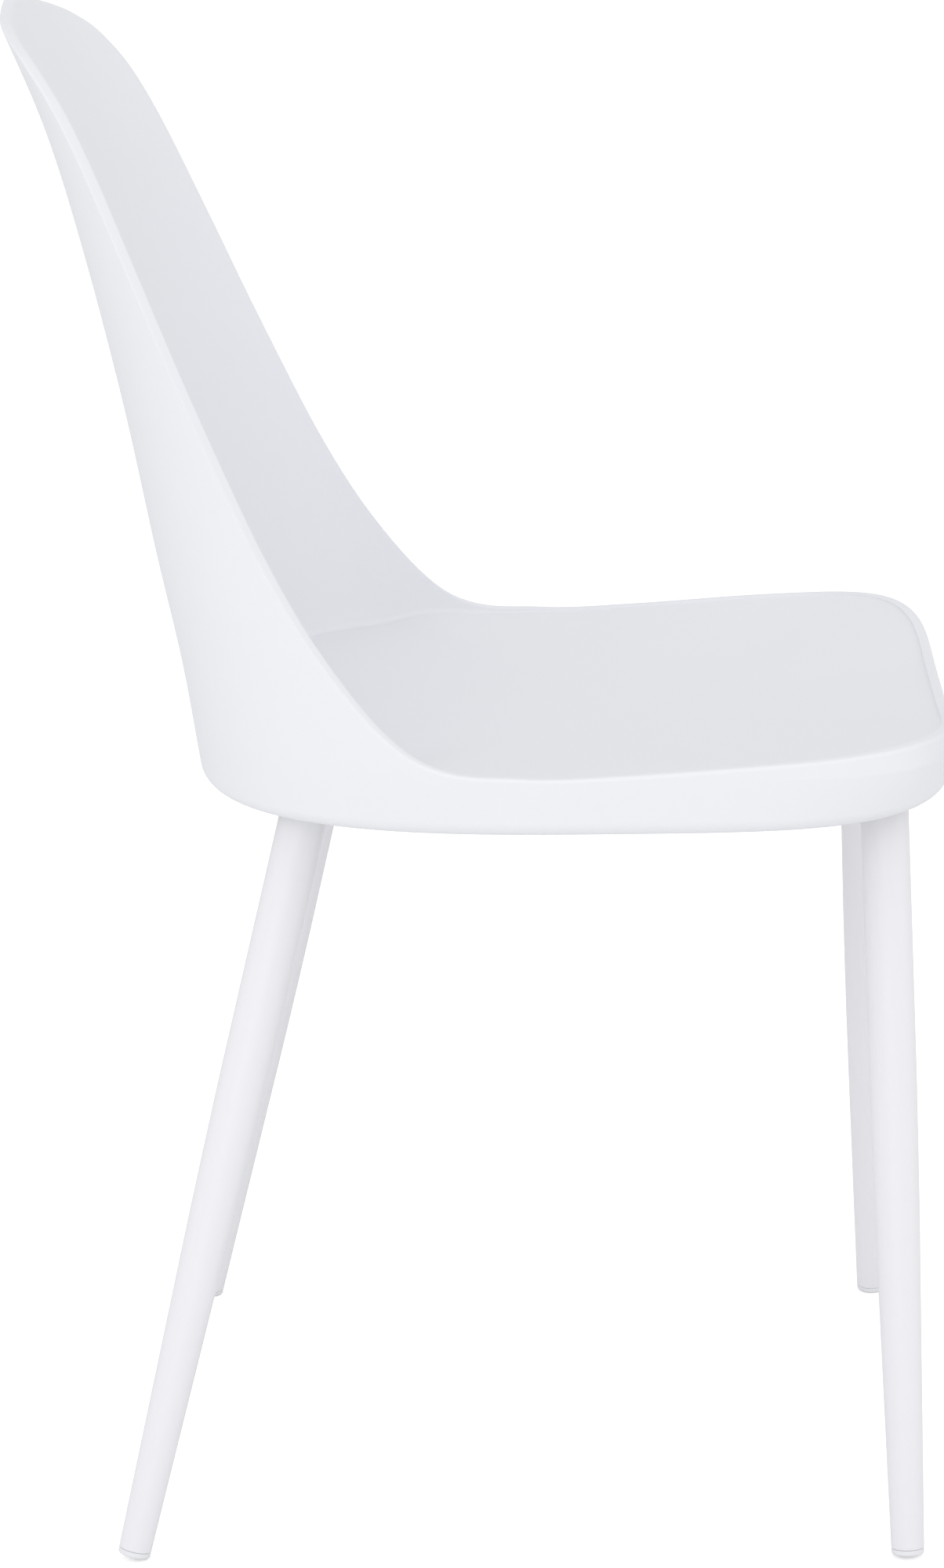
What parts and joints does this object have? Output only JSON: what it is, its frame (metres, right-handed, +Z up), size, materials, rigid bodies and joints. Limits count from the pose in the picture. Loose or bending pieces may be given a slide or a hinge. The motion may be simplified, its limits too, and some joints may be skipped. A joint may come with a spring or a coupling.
{
  "type": "stacking chair",
  "caption": "Armless side chair: one-piece moulded plastic bucket shell with a tapering back, bolted to splayed, tapered tube legs with domed foot glides.",
  "frame": {"origin": "on the floor, under the centre of the chair's outline", "axes": "+X across the chair to the sitter's left, -Y the way the sitter faces, +Z up"},
  "size_m": [0.4666, 0.5172, 0.84],
  "materials": {
    "shell_plastic": "smooth satin moulded polypropylene, cool white",
    "powder_coat": "fine satin powder coat, cool white, on steel",
    "glide_plastic": "smooth moulded polyethylene, white",
    "brass": "machined",
    "zinc_steel": "bright zinc plated"
  },
  "bodies": {
    "root": {"seat_shell": "shell_plastic", "threaded_inserts": "brass", "corner_plate_front_left": "powder_coat", "corner_plate_front_right": "powder_coat", "corner_plate_rear_left": "powder_coat", "corner_plate_rear_right": "powder_coat", "front_rail": "powder_coat", "rear_rail": "powder_coat", "left_rail": "powder_coat", "right_rail": "powder_coat", "flange_front_left": "powder_coat", "flange_front_right": "powder_coat", "flange_rear_left": "powder_coat", "flange_rear_right": "powder_coat", "leg_front_left": "powder_coat", "leg_front_right": "powder_coat", "leg_rear_left": "powder_coat", "leg_rear_right": "powder_coat", "foot_glide_front_left": "glide_plastic", "foot_glide_front_right": "glide_plastic", "foot_glide_rear_left": "glide_plastic", "foot_glide_rear_right": "glide_plastic", "flat_washers": "zinc_steel", "spring_washers": "zinc_steel", "leg_screws": "zinc_steel"}
  },
  "joints": []
}
